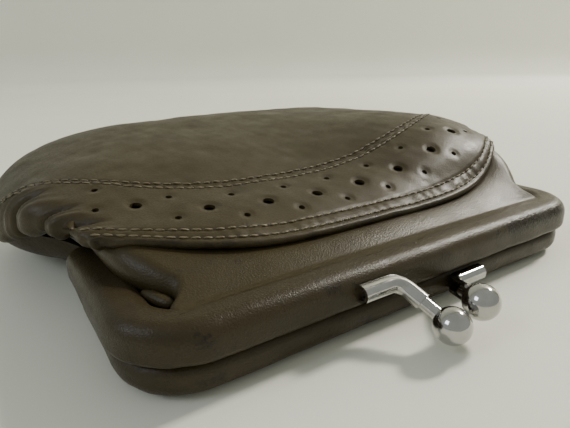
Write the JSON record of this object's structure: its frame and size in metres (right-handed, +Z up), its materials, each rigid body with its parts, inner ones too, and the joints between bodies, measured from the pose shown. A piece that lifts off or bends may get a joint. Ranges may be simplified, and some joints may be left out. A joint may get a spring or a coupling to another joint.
{
  "type": "coin purse",
  "caption": "Small leather coin purse with a leather-covered hinged frame, a ball clasp and a band of punched holes across the front.",
  "frame": {"origin": "bottom centre of the closed purse lying on its back panel", "axes": "+X along the frame's long edge, +Y from the clasp to the pouch's far end, +Z up"},
  "size_m": [0.13, 0.1116, 0.0303],
  "materials": {
    "frame_leather": "smooth semi-gloss leather, worn at the corners",
    "pouch_leather": "smooth fine-grained leather with a soft sheen",
    "steel": "plain rolled steel",
    "clasp_chrome": "polished plating with light wear",
    "lining": "thin woven lining",
    "paper_cord": "twisted paper"
  },
  "bodies": {
    "pouch": {"lower_frame_cover": "frame_leather", "front_band": "pouch_leather", "front_panel": "pouch_leather", "back_panel": "pouch_leather", "band_backing": "pouch_leather", "lower_frame_channel": "steel", "lower_hinge_ear_right": "steel", "lower_hinge_ear_left": "steel", "hinge_rivet_right": "steel", "hinge_rivet_left": "steel", "lower_clasp_tab": "steel", "lower_clasp_arm": "clasp_chrome", "lower_clasp_ball": "clasp_chrome", "front_lining": "lining", "back_lining": "lining", "lower_packing_cord": "paper_cord"},
    "upper_half": {"upper_frame_channel": "steel", "upper_frame_cover": "frame_leather", "upper_packing_cord": "paper_cord", "upper_hinge_ear_right": "steel", "upper_hinge_ear_left": "steel", "upper_clasp_tab": "steel", "upper_clasp_arm": "clasp_chrome", "upper_clasp_ball": "clasp_chrome", "front_yoke": "pouch_leather", "yoke_lining": "lining"}
  },
  "joints": [
    {"name": "frame_hinge", "type": "hinge", "parent": "pouch", "child": "upper_half", "pos_m": [0, -0.00725, 0.0061], "axis": [-1, 0, 0], "range_deg": [0, 75]}
  ]
}
